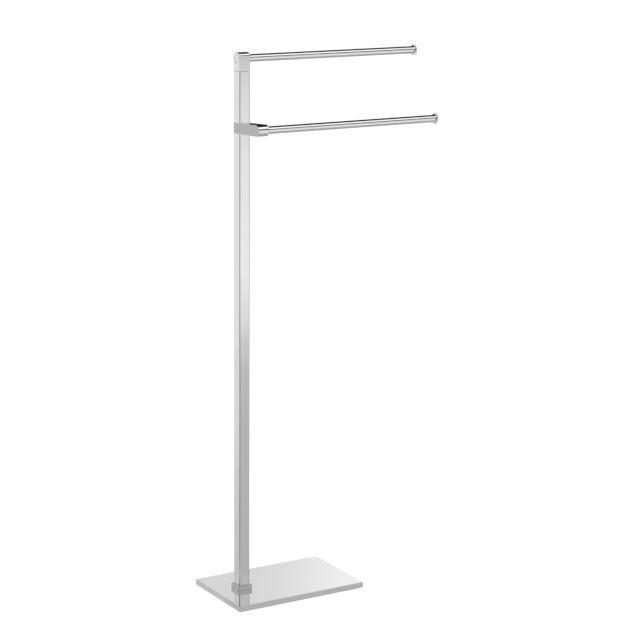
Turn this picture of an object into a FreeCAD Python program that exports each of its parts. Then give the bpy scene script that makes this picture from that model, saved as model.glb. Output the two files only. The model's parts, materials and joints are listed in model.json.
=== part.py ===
"""Freestanding towel stand: a polished base plate, a square post near one end of it, and two round
towel bars that reach out to one side, the lower one carried in front of the post by a bracket.

Frame: millimetres, +Z up, +X along the towel bars, +Y to the back. The origin is on the floor,
on the axis of the post. Every size below can be changed by itself.
"""
import FreeCAD, Part
import math
import os
import re
import Sketcher

SIZES = {
    # the base
    "mat_thickness": 2.0,
    "mat_inset": 4.0,
    "mat_corner_radius": 3.0,
    "plate_length": 310.0,
    "plate_depth": 200.0,
    "plate_thickness": 12.0,
    "plate_edge_radius": 0.5,
    "post_from_plate_end": 60.0,
    # the post: square tube with solid plugs in its ends
    "post_width": 25.0,
    "post_wall": 1.5,
    "post_corner_radius": 1.2,
    "seam_chamfer": 0.4,
    "plug_length": 25.0,
    "foot_plug_length": 30.0,
    "collar_width": 33.0,
    "collar_height": 10.5,
    "collar_edge_radius": 0.5,
    # height of the lower bar above the floor, its distance in front of the post, and the upper bar's
    # height above it
    "lower_bar_height": 1025.0,
    "lower_bar_forward": 81.0,
    "bar_spacing": 140.0,
    # the blocks that carry the bars: the bracket is measured at the post and at its nose, and its nose
    # lies a little higher than the middle of its seat in the post
    "bracket_height": 22.0,
    "nose_height": 24.0,
    "nose_lift": 3.5,
    "bracket_edge_radius": 0.8,
    "head_drop": 25.0,
    "head_corner_radius": 8.0,
    "head_edge_radius": 0.3,
    # the bars, measured from the post's axis to the outer face of the end cap
    "upper_bar_reach": 426.0,
    "lower_bar_reach": 430.0,
    "bar_diameter": 16.0,
    "bar_wall": 1.2,
    "bar_insert_length": 25.0,
    "cap_diameter": 25.0,
    "cap_rim": 2.4,
    "cap_lip": 1.0,
    "cap_rim_radius": 0.7,
    "cap_spigot_length": 12.0,
    # the round cover over the screw that holds the upper bar
    "cover_diameter": 18.0,
    "cover_thickness": 3.0,
    "cover_edge_radius": 0.5,
    # screws and studs
    "post_stud_diameter": 8.0,
    "post_stud_grip": 15.0,
    "head_stud_grip": 12.0,
    "bar_thread_diameter": 6.0,
    "bar_stud_grip": 16.0,
    "bar_screw_bearing": 9.0,
    "bar_screw_grip": 19.0,
    "base_screw_diameter": 6.0,
    "base_screw_offset": 5.0,
    "base_screw_grip": 12.0,
    "base_screw_bearing": 4.0,
    "screw_head_diameter": 10.0,
    "screw_head_height": 6.0,
    "screw_socket_width": 5.0,
    "screw_socket_depth": 3.0,
    "washer_diameter": 12.0,
    "washer_thickness": 1.2,
    "stud_chamfer": 0.6,
    # clearances, each measured on one side
    "slip_clearance": 0.1,
    "thread_clearance": 0.1,
    "hole_clearance": 0.2,
    "recess_clearance": 0.3,
    "blind_hole_spare": 1.5,
}

doc = FreeCAD.newDocument("towel_stand")
sheet = doc.addObject("Spreadsheet::Sheet", "Sizes")
for row, (alias, value) in enumerate(SIZES.items(), start=1):
    sheet.set(f"A{row}", alias.replace("_", " "))
    sheet.set(f"B{row}", str(value))
    sheet.setAlias(f"B{row}", alias)
doc.recompute()


def size(text):
    """The expression for a formula in which every size is written by its bare name."""
    return re.sub("[a-z_]+", lambda word: f"Sizes.{word[0]}" if word[0] in SIZES else word[0], text)


def number(text):
    """The present value of a formula in the sizes."""
    result = sheet.evalExpression(size(text))
    return float(getattr(result, "Value", result))


# Places that several pieces share, as formulas in the sizes
PLATE_TOP = "(mat_thickness + plate_thickness)"
HALF_POST = "(post_width / 2)"
HALF_NOSE = "(nose_height / 2)"
BRACKET_SEAT_HIGH = "(bracket_height / 2 - nose_lift)"
BRACKET_SEAT_LOW = "(-1 * bracket_height / 2 - nose_lift)"
UPPER_BAR_HEIGHT = "(lower_bar_height + bar_spacing)"
HEAD_BOTTOM = f"({UPPER_BAR_HEIGHT} - head_drop)"
BRACKET_BOTTOM = f"(lower_bar_height + {BRACKET_SEAT_LOW})"
BRACKET_TOP = f"(lower_bar_height + {BRACKET_SEAT_HIGH})"
CAP_COVE = "((cap_diameter - bar_diameter) / 2 - cap_lip)"
CAP_LENGTH = f"({CAP_COVE} + cap_rim)"
PLUG_WIDTH = "(post_width - 2 * post_wall - 2 * slip_clearance)"
INSERT_DIAMETER = "(bar_diameter - 2 * bar_wall - 2 * slip_clearance)"
POST_THREAD_HOLE = "(post_stud_diameter + 2 * thread_clearance)"
BAR_THREAD_HOLE = "(bar_thread_diameter + 2 * thread_clearance)"
BASE_THREAD_HOLE = "(base_screw_diameter + 2 * thread_clearance)"
COUNTERBORE_DEPTH = "(plate_thickness - base_screw_bearing)"
BASE_SCREW_PLACES = (
    ("base_screw_offset", "base_screw_offset"),
    ("-1 * base_screw_offset", "-1 * base_screw_offset"),
)


def place(item, x="0", y="0", z="0"):
    """Puts an object at three formulas and keeps it tied to them."""
    for axis, text in zip("xyz", (x, y, z)):
        item.setExpression(f"Placement.Base.{axis}", size(text))


def new_body(label):
    """An empty body with the label of its piece."""
    body = doc.addObject("PartDesign::Body", label)
    body.Label = label
    return body


def new_sketch(body, role="XY_Plane", lift="0"):
    """A sketch on one of the body's own origin planes, lifted along the plane's normal."""
    sketch = body.newObject("Sketcher::SketchObject", f"{body.Name}_sketch")
    base = next(feature for feature in body.Origin.OriginFeatures if feature.Role == role)
    sketch.AttachmentSupport = [(base, "")]
    sketch.MapMode = "FlatFace"
    sketch.setExpression("AttachmentOffset.Base.z", size(lift))
    return sketch


def constrain(sketch, kind, targets, text):
    """A dimension of the sketch, tied to a formula."""
    index = sketch.addConstraint(Sketcher.Constraint(kind, *targets, number(text)))
    sketch.setExpression(f"Constraints[{index}]", size(text))


def pin(sketch, curve, end, x, y):
    """Holds a point of a curve at formulas measured from the sketch's origin. None leaves a way free."""
    for kind, text, axis in (("DistanceX", x, -2), ("DistanceY", y, -1)):
        if text == "0":
            sketch.addConstraint(Sketcher.Constraint("PointOnObject", curve, end, axis))
        elif text is not None:
            constrain(sketch, kind, (-1, 1, curve, end), text)


def vector_at(x, y):
    """The present place of two formulas in the plane of a sketch."""
    return FreeCAD.Vector(number(x), number(y), 0)


def draw_circle(sketch, diameter, x="0", y="0"):
    """A circle of a given diameter about a point."""
    circle = Part.Circle(vector_at(x, y), FreeCAD.Vector(0, 0, 1), number(diameter) / 2)
    curve = sketch.addGeometry(circle)
    pin(sketch, curve, 3, x, y)
    constrain(sketch, "Diameter", (curve,), diameter)


def arc_between(start, stop, centre, turn):
    """An arc about a centre, anticlockwise from start to stop where turn is 1, else clockwise."""
    ends = (start, stop) if turn > 0 else (stop, start)
    angles = [math.atan2(end.y - centre.y, end.x - centre.x) for end in ends]
    circle = Part.Circle(centre, FreeCAD.Vector(0, 0, 1), (start - centre).Length)
    return Part.ArcOfCircle(circle, *angles)


def draw_outline(sketch, corners):
    """A closed outline through corners (x, y). A corner (x, y, centre x, centre y, turn) is joined to the
    next one by an arc about that centre, anticlockwise where turn is 1 and clockwise where it is -1."""
    count = len(corners)
    points = [vector_at(*corner[:2]) for corner in corners]
    centres = [vector_at(*corner[2:4]) if corner[2:] else None for corner in corners]
    forward = [len(corner) == 2 or corner[4] > 0 for corner in corners]
    for here, corner in enumerate(corners):
        start, stop = points[here], points[(here + 1) % count]
        if corner[2:]:
            sketch.addGeometry(arc_between(start, stop, centres[here], corner[4]))
        else:
            sketch.addGeometry(Part.LineSegment(start, stop))
    for here, corner in enumerate(corners):
        before = (here - 1) % count
        first_end = 1 if forward[here] else 2
        last_end_before = 2 if forward[before] else 1
        sketch.addConstraint(Sketcher.Constraint("Coincident", before, last_end_before, here, first_end))
        if corner[2:]:
            pin(sketch, here, 3, corner[2], corner[3])
        x, y = corner[:2]
        if centres[before]:
            # the radius already holds this point one way, so only the other way is pinned
            from_centre = points[here] - centres[before]
            level_with_centre = abs(from_centre.x) > abs(from_centre.y)
            x, y = (None, y) if level_with_centre else (x, None)
        pin(sketch, here, first_end, x, y)


def draw_square(sketch, width):
    """A square centred on the sketch's origin."""
    half = f"{width} / 2"
    less = f"-1 * {width} / 2"
    draw_outline(sketch, [(less, less), (half, less), (half, half), (less, half)])


def pad(body, sketch, length, both_ways=False):
    """Raises a sketch into a solid."""
    feature = body.newObject("PartDesign::Pad", f"{body.Name}_pad")
    feature.Profile = sketch
    feature.Midplane = both_ways
    feature.setExpression("Length", size(length))
    doc.recompute()
    return feature


def pocket(body, sketch, depth=None, along_normal=False):
    """Cuts a sketch out of the body: right through it, or to a depth."""
    before = body.Shape.Volume
    feature = body.newObject("PartDesign::Pocket", f"{body.Name}_pocket")
    feature.Profile = sketch
    if depth is None:
        feature.Type = "ThroughAll"
        feature.Midplane = True
    else:
        feature.Reversed = along_normal
        feature.setExpression("Length", size(depth))
    doc.recompute()
    if body.Shape.Volume > before - 1e-3:
        raise RuntimeError(f"a pocket of {body.Label} cuts nothing")
    return feature


def revolve(body, sketch):
    """Turns a sketch a full turn about its horizontal axis."""
    feature = body.newObject("PartDesign::Revolution", f"{body.Name}_turned")
    feature.Profile = sketch
    feature.ReferenceAxis = (sketch, ["H_Axis"])
    feature.Angle = 360
    doc.recompute()
    return feature


def dress(body, kind, radius, chosen):
    """Rounds (Fillet) or bevels (Chamfer) the edges that a test picks."""
    feature = body.Tip
    names = [f"Edge{index}" for index, edge in enumerate(feature.Shape.Edges, start=1) if chosen(edge)]
    finish = body.newObject(f"PartDesign::{kind}", f"{body.Name}_{kind.lower()}")
    finish.Base = (feature, names)
    finish.setExpression("Radius" if kind == "Fillet" else "Size", size(radius))
    doc.recompute()
    return finish


def lies_at(axis, text, reach=1e-4):
    """A test for edges that lie whole in a plane across an axis."""
    level = number(text)

    def test(edge):
        low, high = (getattr(edge.BoundBox, f"{axis}{side}") for side in ("Min", "Max"))
        return abs(low - level) < reach and abs(high - level) < reach

    return test


def upright(edge):
    """True for straight edges along Z."""
    box = edge.BoundBox
    return box.ZLength > 1e-3 and box.XLength < 1e-6 and box.YLength < 1e-6


# ---------------------------------------------------------------- the base

def make_floor_mat():
    """Thin rubber mat glued over the whole underside, a little inside the plate's edge."""
    body = new_body("floor_mat")
    sketch = new_sketch(body)
    left, right = "mat_inset - post_from_plate_end", "plate_length - post_from_plate_end - mat_inset"
    front, back = "mat_inset - plate_depth / 2", "plate_depth / 2 - mat_inset"
    draw_outline(sketch, [(left, front), (right, front), (right, back), (left, back)])
    pad(body, sketch, "mat_thickness")
    dress(body, "Fillet", "mat_corner_radius", upright)
    return body


def make_base_plate():
    """Heavy flat plate, drilled and counterbored from below for the two screws that hold the post."""
    body = new_body("base_plate")
    sketch = new_sketch(body)
    left, right = "-1 * post_from_plate_end", "plate_length - post_from_plate_end"
    front, back = "-1 * plate_depth / 2", "plate_depth / 2"
    draw_outline(sketch, [(left, front), (right, front), (right, back), (left, back)])
    pad(body, sketch, "plate_thickness")
    bottom = lies_at("Z", "0")
    dress(body, "Fillet", "plate_edge_radius", lambda edge: not bottom(edge))
    holes = new_sketch(body)
    counterbores = new_sketch(body)
    for x, y in BASE_SCREW_PLACES:
        draw_circle(holes, "base_screw_diameter + 2 * hole_clearance", x, y)
        draw_circle(counterbores, "washer_diameter + 2 * recess_clearance", x, y)
    pocket(body, holes)
    pocket(body, counterbores, COUNTERBORE_DEPTH, along_normal=True)
    place(body, z="mat_thickness")
    return body


def make_post_collar():
    """Square ring that trims the foot of the post, standing on the plate."""
    body = new_body("post_collar")
    sketch = new_sketch(body)
    draw_square(sketch, "collar_width")
    pad(body, sketch, "collar_height")
    bottom = lies_at("Z", "0")
    dress(body, "Fillet", "collar_edge_radius", lambda edge: not bottom(edge))
    opening = new_sketch(body)
    draw_square(opening, "(post_width + 2 * hole_clearance)")
    pocket(body, opening)
    place(body, z=PLATE_TOP)
    return body


# ---------------------------------------------------------------- the post

def make_post_tube(label, bottom, top, seams):
    """Square tube with rounded corners, bevelled all round at each end named in seams."""
    body = new_body(label)
    sketch = new_sketch(body)
    draw_square(sketch, "post_width")
    pad(body, sketch, f"{top} - {bottom}")
    dress(body, "Fillet", "post_corner_radius", upright)
    levels = [lies_at("Z", f"{level} - {bottom}") for level in seams]
    dress(body, "Chamfer", "seam_chamfer", lambda edge: any(level(edge) for level in levels))
    opening = new_sketch(body)
    draw_square(opening, "(post_width - 2 * post_wall)")
    pocket(body, opening)
    place(body, z=bottom)
    return body


def make_plug(label, bottom, length, holes):
    """Solid square plug fixed in the end of a tube. Each hole is (diameter, x, y), tapped right through."""
    body = new_body(label)
    sketch = new_sketch(body)
    draw_square(sketch, PLUG_WIDTH)
    pad(body, sketch, length)
    drilled = new_sketch(body)
    for diameter, x, y in holes:
        draw_circle(drilled, diameter, x, y)
    pocket(body, drilled)
    place(body, z=bottom)
    return body


def make_stud(label, diameter, length, role, **where):
    """Threaded stud, drawn plain, with bevelled ends."""
    body = new_body(label)
    sketch = new_sketch(body, role)
    draw_circle(sketch, diameter)
    pad(body, sketch, length)
    dress(body, "Chamfer", "stud_chamfer", lambda edge: len(edge.Vertexes) == 1)
    place(body, **where)
    return body


# ---------------------------------------------------------------- the blocks that carry the bars

def make_lower_arm_bracket():
    """Block clamped between the two tubes of the post, which runs forward, rising and growing a little, to
    a half-round nose. The lower bar's stud goes into the nose from the side, and the post's stud passes
    straight through."""
    body = new_body("lower_arm_bracket")
    sketch = new_sketch(body, "YZ_Plane")
    nose, front, back = "-1 * lower_bar_forward", f"-1 * {HALF_POST}", HALF_POST
    draw_outline(sketch, [
        (back, BRACKET_SEAT_HIGH),
        (front, BRACKET_SEAT_HIGH),
        (nose, HALF_NOSE, nose, "0", 1),
        (nose, f"-1 * {HALF_NOSE}"),
        (front, BRACKET_SEAT_LOW),
        (back, BRACKET_SEAT_LOW),
    ])
    pad(body, sketch, "post_width", both_ways=True)
    faces = [lies_at("X", f"{side} * {HALF_POST}") for side in ("-1", "1")]
    dress(body, "Fillet", "bracket_edge_radius", lambda edge: any(face(edge) for face in faces))
    stud_hole = new_sketch(body)
    draw_circle(stud_hole, "post_stud_diameter + 2 * hole_clearance")
    pocket(body, stud_hole)
    bar_hole = new_sketch(body, "YZ_Plane", HALF_POST)
    draw_circle(bar_hole, BAR_THREAD_HOLE, nose)
    pocket(body, bar_hole, "bar_stud_grip + blind_hole_spare")
    place(body, z="lower_bar_height")
    return body


def make_head_block():
    """Block on top of the post, flat above with well rounded corners, as high over the upper bar's axis as
    it is deep in front of it. A screw passes through it from the left into the bar, under a round cover,
    and the head's stud comes up from below."""
    body = new_body("head_block")
    sketch = new_sketch(body, "YZ_Plane")
    front, back = f"-1 * {HALF_POST}", HALF_POST
    foot, top = "-1 * head_drop", HALF_POST
    flat = f"({HALF_POST} - head_corner_radius)"
    draw_outline(sketch, [
        (front, foot),
        (back, foot),
        (back, flat, flat, flat, 1),
        (flat, top),
        (f"-1 * {flat}", top, f"-1 * {flat}", flat, 1),
        (front, flat),
    ])
    pad(body, sketch, "post_width", both_ways=True)
    faces = [lies_at("X", f"{side} * {HALF_POST}") for side in ("-1", "1")]
    dress(body, "Fillet", "head_edge_radius", lambda edge: any(face(edge) for face in faces))
    left = f"-1 * {HALF_POST}"
    screw_hole = new_sketch(body, "YZ_Plane")
    draw_circle(screw_hole, "bar_thread_diameter + 2 * hole_clearance")
    pocket(body, screw_hole)
    head_recess = new_sketch(body, "YZ_Plane", left)
    draw_circle(head_recess, "screw_head_diameter + 2 * recess_clearance")
    pocket(body, head_recess, "post_width - bar_screw_bearing", along_normal=True)
    cover_recess = new_sketch(body, "YZ_Plane", left)
    draw_circle(cover_recess, "cover_diameter + 2 * slip_clearance")
    pocket(body, cover_recess, "cover_thickness", along_normal=True)
    stud_hole = new_sketch(body, "XY_Plane", foot)
    draw_circle(stud_hole, POST_THREAD_HOLE)
    pocket(body, stud_hole, "head_stud_grip + blind_hole_spare", along_normal=True)
    place(body, z=UPPER_BAR_HEIGHT)
    return body


def make_head_cover_plug():
    """Round cover pressed flush into the left face of the head, over the screw."""
    body = new_body("head_cover_plug")
    sketch = new_sketch(body, "YZ_Plane")
    draw_circle(sketch, "cover_diameter")
    pad(body, sketch, "cover_thickness")
    dress(body, "Fillet", "cover_edge_radius", lies_at("X", "0"))
    place(body, x=f"-1 * {HALF_POST}", z=UPPER_BAR_HEIGHT)
    return body


# ---------------------------------------------------------------- the bars

def make_bar(prefix, reach, forward, height):
    """One towel bar: a round tube, the tapped insert in its root and the flared cap on its free end."""
    tube = new_body(f"{prefix}_bar_tube")
    ring = new_sketch(tube, "YZ_Plane")
    draw_circle(ring, "bar_diameter")
    draw_circle(ring, "(bar_diameter - 2 * bar_wall)")
    pad(tube, ring, f"{reach} - {CAP_LENGTH} - {HALF_POST}")
    place(tube, HALF_POST, forward, height)

    insert = new_body(f"{prefix}_bar_insert")
    ring = new_sketch(insert, "YZ_Plane")
    draw_circle(ring, INSERT_DIAMETER)
    draw_circle(ring, BAR_THREAD_HOLE)
    pad(insert, ring, "bar_insert_length")
    place(insert, HALF_POST, forward, height)

    cap = new_body(f"{prefix}_bar_end_cap")
    profile = new_sketch(cap, "XZ_Plane")
    spigot = f"{INSERT_DIAMETER} / 2"
    cove_rim = f"bar_diameter / 2 + {CAP_COVE}"
    draw_outline(profile, [
        ("-1 * cap_spigot_length", "0"),
        (CAP_LENGTH, "0"),
        (CAP_LENGTH, "cap_diameter / 2"),
        (CAP_COVE, "cap_diameter / 2"),
        (CAP_COVE, cove_rim, "0", cove_rim, -1),
        ("0", "bar_diameter / 2"),
        ("0", spigot),
        ("-1 * cap_spigot_length", spigot),
    ])
    revolve(cap, profile)
    rim = number("cap_diameter / 2")

    def rim_circle(edge):
        box = edge.BoundBox
        return box.XLength < 1e-4 and abs(box.ZMax - rim) < 1e-4

    dress(cap, "Fillet", "cap_rim_radius", rim_circle)
    place(cap, f"{reach} - {CAP_LENGTH}", forward, height)
    return tube, insert, cap


# ---------------------------------------------------------------- screws and washers

def make_cap_screw(name, diameter, length):
    """Socket-head cap screw along +Z with its head below the origin, thread drawn plain."""
    head = doc.addObject("Part::Cylinder", f"{name}_head")
    head.setExpression("Radius", size("screw_head_diameter / 2"))
    head.setExpression("Height", size("screw_head_height"))
    place(head, z="-1 * screw_head_height")
    shank = doc.addObject("Part::Cylinder", f"{name}_shank")
    shank.setExpression("Radius", size(f"{diameter} / 2"))
    shank.setExpression("Height", size(length))
    solid = doc.addObject("Part::Fuse", f"{name}_solid")
    solid.Base = head
    solid.Tool = shank
    socket = doc.addObject("Part::Prism", f"{name}_socket")
    socket.Polygon = 6
    socket.setExpression("Circumradius", size("screw_socket_width / sqrt(3)"))
    socket.setExpression("Height", size("screw_socket_depth"))
    place(socket, z="-1 * screw_head_height")
    screw = doc.addObject("Part::Cut", name)
    screw.Base = solid
    screw.Tool = socket
    return screw


def make_washer(name):
    """Flat washer that lies above the origin."""
    disc = doc.addObject("Part::Cylinder", f"{name}_disc")
    disc.setExpression("Radius", size("washer_diameter / 2"))
    disc.setExpression("Height", size("washer_thickness"))
    hole = doc.addObject("Part::Cylinder", f"{name}_hole")
    hole.setExpression("Radius", size("base_screw_diameter / 2 + hole_clearance"))
    hole.setExpression("Height", size("washer_thickness"))
    washer = doc.addObject("Part::Cut", name)
    washer.Base = disc
    washer.Tool = hole
    return washer


def make_group(label, members):
    """Identical pieces kept together as one node of separate solids."""
    group = doc.addObject("Part::Compound", label)
    group.Label = label
    group.Links = members
    return group


def make_base_fasteners():
    """Two cap screws with washers, up through the plate into the foot plug."""
    bearing = f"mat_thickness + {COUNTERBORE_DEPTH}"
    screws, washers = [], []
    for index, (x, y) in enumerate(BASE_SCREW_PLACES, start=1):
        length = "washer_thickness + base_screw_bearing + base_screw_grip"
        screw = make_cap_screw(f"base_screw_{index}", "base_screw_diameter", length)
        place(screw, x, y, f"{bearing} - washer_thickness")
        screws.append(screw)
        washer = make_washer(f"base_washer_{index}")
        place(washer, x, y, f"{bearing} - washer_thickness")
        washers.append(washer)
    return make_group("base_screws", screws), make_group("base_washers", washers)


def make_upper_bar_screw():
    """Cap screw that draws the upper bar against the head."""
    screw = make_cap_screw("upper_bar_screw", "bar_thread_diameter", "bar_screw_bearing + bar_screw_grip")
    screw.Label = "upper_bar_screw"
    screw.Placement.Rotation = FreeCAD.Rotation(FreeCAD.Vector(0, 1, 0), 90)
    place(screw, f"{HALF_POST} - bar_screw_bearing", "0", UPPER_BAR_HEIGHT)
    return screw


# ---------------------------------------------------------------- the whole stand

base_holes = [(BASE_THREAD_HOLE, x, y) for x, y in BASE_SCREW_PLACES]
stud_holes = [(POST_THREAD_HOLE, "0", "0")]
lower_forward = "-1 * lower_bar_forward"

parts = [
    make_floor_mat(),
    make_base_plate(),
    *make_base_fasteners(),
    make_post_collar(),
    make_post_tube("lower_post_tube", PLATE_TOP, BRACKET_BOTTOM, [BRACKET_BOTTOM]),
    make_plug("lower_post_foot_plug", PLATE_TOP, "foot_plug_length", base_holes),
    make_plug("lower_post_top_plug", f"{BRACKET_BOTTOM} - plug_length", "plug_length", stud_holes),
    make_stud("bracket_stud", "post_stud_diameter", "bracket_height + 2 * post_stud_grip", "XY_Plane",
              z=f"{BRACKET_BOTTOM} - post_stud_grip"),
    make_lower_arm_bracket(),
    make_post_tube("upper_post_tube", BRACKET_TOP, HEAD_BOTTOM, [BRACKET_TOP, HEAD_BOTTOM]),
    make_plug("upper_post_bottom_plug", BRACKET_TOP, "plug_length", stud_holes),
    make_plug("upper_post_top_plug", f"{HEAD_BOTTOM} - plug_length", "plug_length", stud_holes),
    make_stud("head_stud", "post_stud_diameter", "post_stud_grip + head_stud_grip", "XY_Plane",
              z=f"{HEAD_BOTTOM} - post_stud_grip"),
    make_head_block(),
    make_head_cover_plug(),
    make_upper_bar_screw(),
    *make_bar("upper", "upper_bar_reach", "0", UPPER_BAR_HEIGHT),
    make_stud("lower_bar_stud", "bar_thread_diameter", "2 * bar_stud_grip", "YZ_Plane",
              x=f"{HALF_POST} - bar_stud_grip", y=lower_forward, z="lower_bar_height"),
    *make_bar("lower", "lower_bar_reach", lower_forward, "lower_bar_height"),
]
doc.recompute()

for item in doc.Objects:
    if {"Invalid", "Error"} & set(item.State):
        raise RuntimeError(f"{item.Label} did not compute: {item.State}")
for part in parts:
    if part.Shape.isNull() or not part.Shape.isValid():
        raise RuntimeError(f"{part.Label} has no valid shape")

os.makedirs("parts", exist_ok=True)
for part in parts:
    part.Shape.exportStep(f"parts/{part.Label}.step")
    box = part.Shape.BoundBox
    print(f"{part.Label:24s} solids {len(part.Shape.Solids)}  volume {part.Shape.Volume:10.1f}"
          f"  X {box.XMin:7.1f} {box.XMax:7.1f}  Y {box.YMin:7.1f} {box.YMax:7.1f}"
          f"  Z {box.ZMin:7.1f} {box.ZMax:7.1f}")
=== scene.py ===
# %% [markdown]
# # A freestanding towel stand in mirror-polished steel
#
# The stand is a heavy plate, a square post and two round bars. Nearly everything on it is polished
# metal, and polished metal has almost no look of its own: what we see is its shape bending the room
# around it. So this lesson spends its effort in three places. The first is true surfaces, with the
# small round edges that catch light. The second is a metal finish that is a little less than perfect.
# The third is a studio that gives the metal something to show.
#
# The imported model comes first. It is a fixed frame: it says where every piece is, in metres, and
# nothing in it is moved.

# %% Load the frame
from collections import namedtuple
import json

import bpy
import numpy as np
from mathutils import Matrix, Vector


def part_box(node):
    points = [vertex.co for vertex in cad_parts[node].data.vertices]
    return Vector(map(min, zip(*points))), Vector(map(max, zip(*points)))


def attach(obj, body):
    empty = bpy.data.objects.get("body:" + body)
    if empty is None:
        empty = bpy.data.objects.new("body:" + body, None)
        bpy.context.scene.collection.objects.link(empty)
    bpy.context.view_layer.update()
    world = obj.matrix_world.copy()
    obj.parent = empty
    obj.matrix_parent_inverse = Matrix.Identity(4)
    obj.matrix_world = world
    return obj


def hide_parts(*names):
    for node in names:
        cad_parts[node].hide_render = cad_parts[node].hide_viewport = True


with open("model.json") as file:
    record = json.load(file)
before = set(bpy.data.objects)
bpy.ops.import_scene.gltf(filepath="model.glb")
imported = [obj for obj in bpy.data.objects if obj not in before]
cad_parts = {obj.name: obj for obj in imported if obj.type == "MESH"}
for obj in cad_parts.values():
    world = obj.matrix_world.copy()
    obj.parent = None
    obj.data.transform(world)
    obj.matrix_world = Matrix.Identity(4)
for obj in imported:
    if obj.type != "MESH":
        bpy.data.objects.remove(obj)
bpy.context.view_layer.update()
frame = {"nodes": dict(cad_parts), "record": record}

# %% [markdown]
# ## From grids of points to a mesh
#
# Every piece here is a loft: a closed outline that is carried along a path, and changes as it goes.
# Blender could also cut these pieces from cubes and cylinders with bevel modifiers, but then it works
# out the normals itself, and the flats beside a small round edge look swollen in a mirror finish. As
# numbers, a loft is one grid of points, rings by points in a ring, so numpy can work out a whole piece
# at once, and the function that places a point also knows which way the surface faces there. That
# direction goes into the mesh as its normal, and the flats stay flat.

# %% A mesh from a grid of rings
MM = 0.001
BODY = "root"


def loft(name, rings, normals, joined=False):
    """A piece from rings[i, j] = point j of ring i, with normals of the same shape.

    Rings run anticlockwise seen against the way they advance, so faces point outwards. Where joined is
    true the last ring meets the first, as on a tube wall. Otherwise each end ring is closed by a fan
    from its mean point, with the mean of its normals there. The attribute "side" holds |normal_x|^4,
    which is 1 on faces square to the bars and falls to 0 round their edges.
    """
    count, around = rings.shape[:2]
    points = rings.reshape(-1, 3)
    facing = normals.reshape(-1, 3)
    rows = np.arange(count if joined else count - 1)[:, None]
    columns = np.arange(around)[None, :]
    after_row, after_column = (rows + 1) % count, (columns + 1) % around
    corners = (rows * around + columns, rows * around + after_column,
               after_row * around + after_column, after_row * around + columns)
    faces = np.stack(np.broadcast_arrays(*corners), axis=-1).reshape(-1, 4).tolist()
    if not joined:
        first, last = len(points), len(points) + 1
        points = np.vstack([points, rings[0].mean(axis=0), rings[-1].mean(axis=0)])
        facing = np.vstack([facing, normals[0].mean(axis=0), normals[-1].mean(axis=0)])
        here = np.arange(around)
        after = (here + 1) % around
        top = (count - 1) * around
        faces += np.stack([np.full(around, first), after, here], axis=1).tolist()
        faces += np.stack([np.full(around, last), top + here, top + after], axis=1).tolist()
    mesh = bpy.data.meshes.new(name)
    mesh.from_pydata(points.tolist(), [], faces)
    mesh.polygons.foreach_set("use_smooth", np.ones(len(faces), dtype=bool))
    facing = facing / np.linalg.norm(facing, axis=1, keepdims=True)
    mesh.normals_split_custom_set_from_vertices(facing.tolist())
    side = mesh.attributes.new("side", "FLOAT", "POINT")
    side.data.foreach_set("value", np.abs(facing[:, 0]) ** 4)
    mesh.update()
    piece = bpy.data.objects.new(name, mesh)
    bpy.context.scene.collection.objects.link(piece)
    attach(piece, BODY)
    print(f"{name}: {len(points)} points, {len(faces)} faces")
    return piece


# %% [markdown]
# ## Outlines
#
# Every outline on the stand is a polygon with round corners. The plate, the mat, the collar and the
# post are rectangles. The head is a rectangle with two small corners and two large ones. The bracket is
# a taper whose last two corners are so round that they meet in a nose. A curve object with bevelled
# corners could draw them too, but it keeps no record of where they face. One function draws them all
# here. It gives the points together with the directions that they face, so that an outline can be drawn
# in by stepping back along those directions.

# %% Outlines with their directions
def rounded_polygon(corners, radii, steps=12):
    """Points and outward directions of a polygon with round corners, given anticlockwise. A corner that
    points inwards has a negative radius.

    With edge directions d and outward normals n = (d_y, -d_x) on both sides of corner p, and the turn
    a between them, the corner is the arc c + r (cos t, sin t) from one normal to the next. Its centre is
    c = p - r n - r tan(a / 2) d, with n and d those of the edge that comes in.
    """
    corners = np.asarray(corners, dtype=float)
    radii = np.asarray(radii, dtype=float)[:, None]
    ahead = np.roll(corners, -1, axis=0) - corners
    ahead /= np.linalg.norm(ahead, axis=1, keepdims=True)
    coming = np.roll(ahead, 1, axis=0)
    normal = np.stack([coming[:, 1], -coming[:, 0]], axis=1)
    cross = coming[:, 0] * ahead[:, 1] - coming[:, 1] * ahead[:, 0]
    turn = np.arctan2(cross, (coming * ahead).sum(axis=1))
    centre = corners - radii * normal - radii * np.tan(turn / 2)[:, None] * coming
    first = np.arctan2(normal[:, 1], normal[:, 0])
    sweep = first[:, None] + turn[:, None] * np.linspace(0, 1, steps)[None, :]
    facing = np.stack([np.cos(sweep), np.sin(sweep)], axis=2)
    points = centre[:, None, :] + radii[:, :, None] * facing
    return points.reshape(-1, 2), facing.reshape(-1, 2)


def rounded_rectangle(half_wide, half_deep, radius):
    """A rectangle about the origin with four equal round corners."""
    corners = np.array([[1, -1], [1, 1], [-1, 1], [-1, -1]]) * (half_wide, half_deep)
    return rounded_polygon(corners, [radius] * 4)


def filled_in(outline, facing, spacing):
    """The same outline with points added along its flats, so that no gap is wider than the spacing."""
    gap = np.roll(outline, -1, axis=0) - outline
    count = np.maximum(np.ceil(np.linalg.norm(gap, axis=1) / spacing), 1).astype(int)
    start = np.repeat(np.arange(len(outline)), count)
    step = np.arange(count.sum()) - np.repeat(np.cumsum(count) - count, count)
    share = (step / count[start])[:, None]
    return outline[start] + share * gap[start], facing[start]


def circle(radius, steps=96):
    """Points and directions of a circle: radius (cos t, sin t)."""
    turn = np.linspace(0, 2 * np.pi, steps, endpoint=False)
    facing = np.stack([np.cos(turn), np.sin(turn)], axis=1)
    return radius * facing, facing


print("a rounded square takes", len(rounded_rectangle(1.0, 1.0, 0.1)[0]), "points")

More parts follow.
